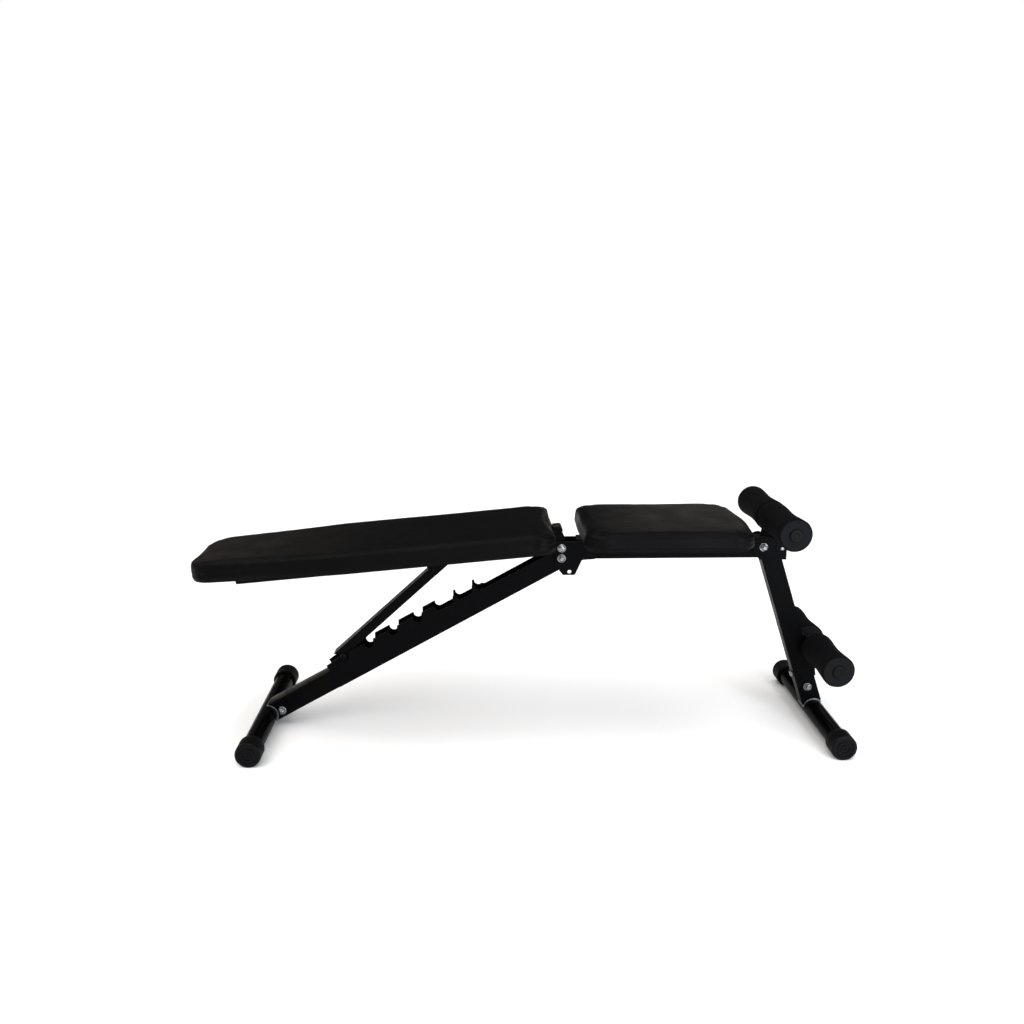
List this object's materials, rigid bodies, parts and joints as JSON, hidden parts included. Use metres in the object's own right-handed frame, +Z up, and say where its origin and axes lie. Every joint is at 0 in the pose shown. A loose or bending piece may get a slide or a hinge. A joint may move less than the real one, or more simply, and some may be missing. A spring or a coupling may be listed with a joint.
{
  "type": "adjustable weight bench",
  "caption": "Folding workout bench with a padded seat, a backrest that a ladder strut holds at several angles, round foot bars and foam leg rollers.",
  "frame": {"origin": "on the floor, below the middle of the bench's overall box", "axes": "+Z up; +X along the bench from the backrest's head end towards the foam rollers; +Y to the left of a person who sits facing +X; every hinge runs along Y"},
  "size_m": [1.283, 0.412, 0.4645],
  "materials": {
    "black_steel": "satin",
    "zinc_steel": "satin",
    "black_vinyl": "satin",
    "black_foam": "matte",
    "black_plastic": "satin",
    "plywood": "matte"
  },
  "bodies": {
    "seat_frame": {"seat_rail": "black_steel", "hinge_plate_left": "black_steel", "hinge_plate_right": "black_steel", "front_bracket_left": "black_steel", "front_bracket_right": "black_steel", "backrest_pivot_bolt": "zinc_steel", "backrest_pivot_nut": "zinc_steel", "rear_leg_pivot_bolt": "zinc_steel", "rear_leg_pivot_nut": "zinc_steel", "front_leg_pivot_bolt": "zinc_steel", "front_leg_pivot_nut": "zinc_steel", "front_leg_stop_pin": "zinc_steel", "rear_leg_stop_pin": "black_steel", "seat_mount_plate_rear": "black_steel", "seat_mount_plate_front": "black_steel", "seat_pad": "black_vinyl", "seat_board": "plywood", "upper_roller_bracket": "black_steel", "upper_roller_bar": "black_steel", "upper_roller_plug_left": "black_plastic", "upper_roller_plug_right": "black_plastic"},
    "backrest": {"backrest_rail": "black_steel", "backrest_rail_plug": "black_plastic", "backrest_pivot_sleeve": "black_steel", "backrest_ear_left": "black_steel", "backrest_ear_right": "black_steel", "strut_hanger_left": "black_steel", "strut_hanger_right": "black_steel", "strut_pivot_bolt": "black_steel", "strut_pivot_nut": "black_steel", "backrest_mount_plate_head": "black_steel", "backrest_mount_plate_hinge": "black_steel", "backrest_pad": "black_vinyl", "backrest_board": "plywood"},
    "strut": {"strut_bar": "black_steel", "strut_pin": "black_steel"},
    "rear_leg": {"rack_channel": "black_steel", "rear_leg_tube": "black_steel", "rear_foot_saddle": "zinc_steel", "rear_foot_bolt": "zinc_steel", "rear_foot_nut": "zinc_steel", "rear_foot_bar": "black_steel", "rear_foot_cap_left": "black_plastic", "rear_foot_cap_right": "black_plastic"},
    "front_leg": {"front_leg_tube": "black_steel", "front_foot_saddle": "zinc_steel", "front_foot_bolt": "zinc_steel", "front_foot_nut": "zinc_steel", "front_foot_bar": "black_steel", "front_foot_cap_left": "black_plastic", "front_foot_cap_right": "black_plastic", "lower_roller_bracket": "black_steel", "lower_roller_bolt": "zinc_steel", "lower_roller_bar": "black_steel", "lower_roller_plug_left": "black_plastic", "lower_roller_plug_right": "black_plastic"},
    "upper_foam_left": {"upper_foam_left": "black_foam"},
    "upper_foam_right": {"upper_foam_right": "black_foam"},
    "lower_foam_left": {"lower_foam_left": "black_foam"},
    "lower_foam_right": {"lower_foam_right": "black_foam"}
  },
  "joints": [
    {"name": "backrest_recline", "type": "hinge", "parent": "seat_frame", "child": "backrest", "pos_m": [0.0845, 0, 0.3765], "axis": [0, 1, 0], "range_deg": [0, 50]},
    {"name": "strut_swing", "type": "hinge", "parent": "backrest", "child": "strut", "pos_m": [-0.17276, 0, 0.33333], "axis": [0, -1, 0], "range_deg": [0, 65]},
    {"name": "rear_leg_fold", "type": "hinge", "parent": "seat_frame", "child": "rear_leg", "pos_m": [0.0845, 0, 0.356], "axis": [0, -1, 0], "range_deg": [0, 58]},
    {"name": "front_leg_fold", "type": "hinge", "parent": "seat_frame", "child": "front_leg", "pos_m": [0.49, 0, 0.376], "axis": [0, 1, 0], "range_deg": [0, 97]},
    {"name": "upper_foam_left_spin", "type": "hinge", "parent": "seat_frame", "child": "upper_foam_left", "pos_m": [0.511, 0, 0.433], "axis": [0, 1, 0], "continuous": true},
    {"name": "upper_foam_right_spin", "type": "hinge", "parent": "seat_frame", "child": "upper_foam_right", "pos_m": [0.511, 0, 0.433], "axis": [0, 1, 0], "continuous": true},
    {"name": "lower_foam_left_spin", "type": "hinge", "parent": "front_leg", "child": "lower_foam_left", "pos_m": [0.6101, 0, 0.16251], "axis": [0, 1, 0], "continuous": true},
    {"name": "lower_foam_right_spin", "type": "hinge", "parent": "front_leg", "child": "lower_foam_right", "pos_m": [0.6101, 0, 0.16251], "axis": [0, 1, 0], "continuous": true}
  ],
  "couplings": [
    {"joint": "strut_swing", "follows": "backrest_recline", "ratio": 1.3}
  ]
}
